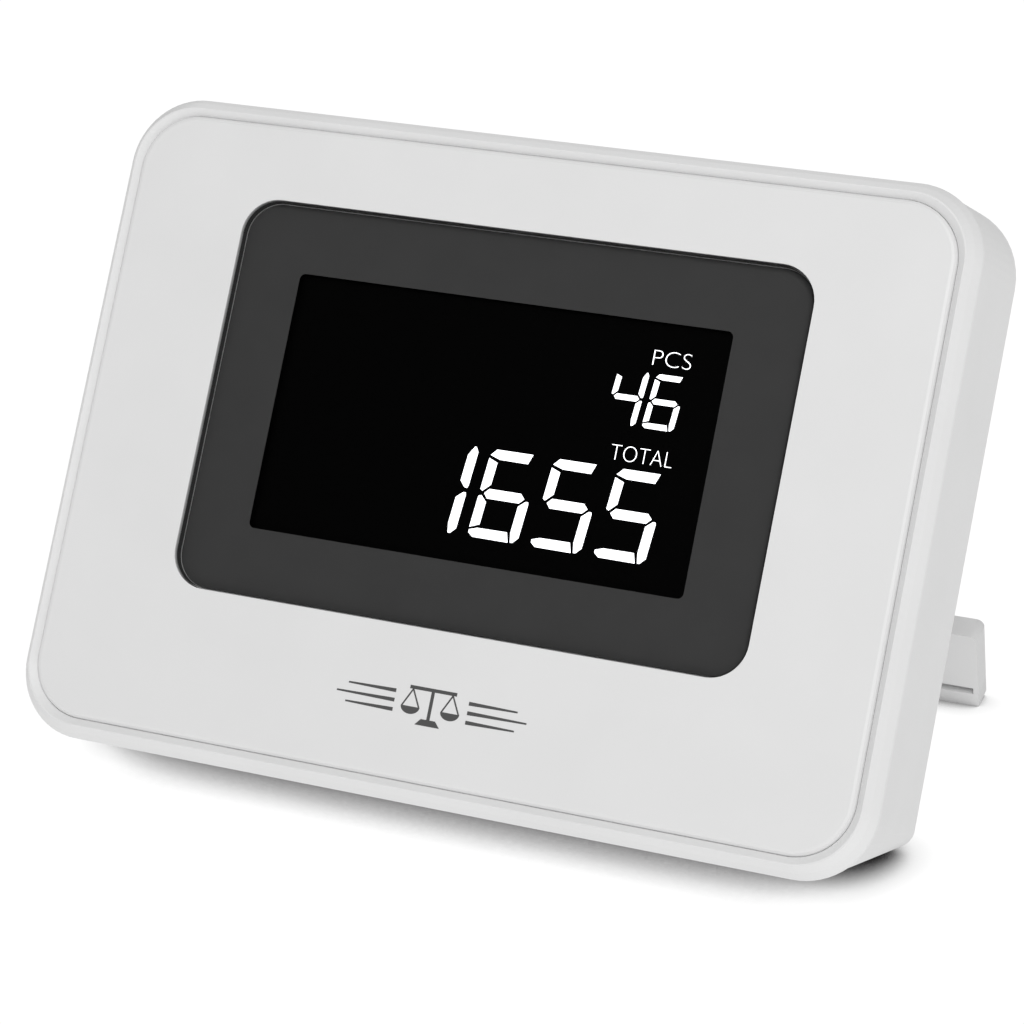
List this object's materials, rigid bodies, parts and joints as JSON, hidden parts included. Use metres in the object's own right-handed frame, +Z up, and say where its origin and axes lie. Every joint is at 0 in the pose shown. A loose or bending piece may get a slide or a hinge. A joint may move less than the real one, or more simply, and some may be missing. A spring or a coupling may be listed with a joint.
{
  "type": "remote scale display",
  "caption": "Light grey wedge-shaped desk display for a counting scale, with a dark LCD window and a fold-out T-shaped rear stand.",
  "frame": {"origin": "middle of the standing display's box, on the table", "axes": "+Z up, +X to the viewer's right along the width, -Y towards the viewer; the face leans back 30 degrees"},
  "size_m": [0.1316, 0.0854, 0.0927],
  "materials": {
    "frame_abs": "fine satin moulded ABS, light grey",
    "panel_abs": "very fine matt texture, light grey",
    "shell_abs": "spark-eroded texture, light grey",
    "leg_abs": "spark-eroded texture, light grey",
    "lens_acrylic": "clear acrylic, hard-coated",
    "mask_ink": "dark grey back-printed ink",
    "foam_tape": "black foam tape",
    "holder_plastic": "white moulded plastic",
    "polariser_film": "dark polarising film",
    "lcd_glass": "thin display glass",
    "diffuser_film": "white matt film",
    "guide_acrylic": "clear acrylic slab",
    "board_laminate": "green solder mask on glass-fibre laminate",
    "led_phosphor": "yellow phosphor in a white package",
    "strip_silicone": "pink silicone with carbon layers",
    "chip_epoxy": "black epoxy",
    "plated_steel": "zinc-plated steel",
    "capacitor_aluminium": "sleeved aluminium can",
    "jack_nylon": "black moulded nylon",
    "contact_gold": "gold-plated phosphor bronze",
    "grey_rubber": "grey moulded rubber",
    "light_rubber": "light grey moulded rubber",
    "label_polyester": "silver-grey polyester film, blank",
    "display_white": "lit LCD segments",
    "print_ink": "dark grey screen-printed ink"
  },
  "bodies": {
    "housing": {"front_frame": "frame_abs", "fascia_panel": "panel_abs", "window_lens": "lens_acrylic", "lens_mask": "mask_ink", "lens_gasket": "foam_tape", "lcd_holder": "holder_plastic", "front_polariser": "polariser_film", "lcd_front_glass": "lcd_glass", "lcd_rear_glass": "lcd_glass", "rear_polariser": "polariser_film", "diffuser_sheet": "diffuser_film", "light_guide": "guide_acrylic", "reflector_sheet": "diffuser_film", "led_strip_board": "board_laminate", "backlight_leds": "led_phosphor", "contact_strips": "strip_silicone", "main_board": "board_laminate", "controller_chip": "chip_epoxy", "display_driver_chip": "chip_epoxy", "voltage_regulator": "chip_epoxy", "clock_crystal": "plated_steel", "capacitors": "capacitor_aluminium", "resistors": "chip_epoxy", "modular_jack": "jack_nylon", "jack_contacts": "contact_gold", "board_screws": "plated_steel", "rear_shell": "shell_abs", "base_bumpers": "grey_rubber", "case_screws": "plated_steel", "rating_label": "label_polyester", "hinge_pin": "plated_steel"},
    "stand": {"stand_leg": "leg_abs", "foot_strip": "light_rubber"}
  },
  "joints": [
    {"name": "stand_hinge", "type": "hinge", "parent": "housing", "child": "stand", "pos_m": [0, 0.02194, 0.06276], "axis": [1, 0, 0], "range_deg": [-46.4, 0]}
  ]
}
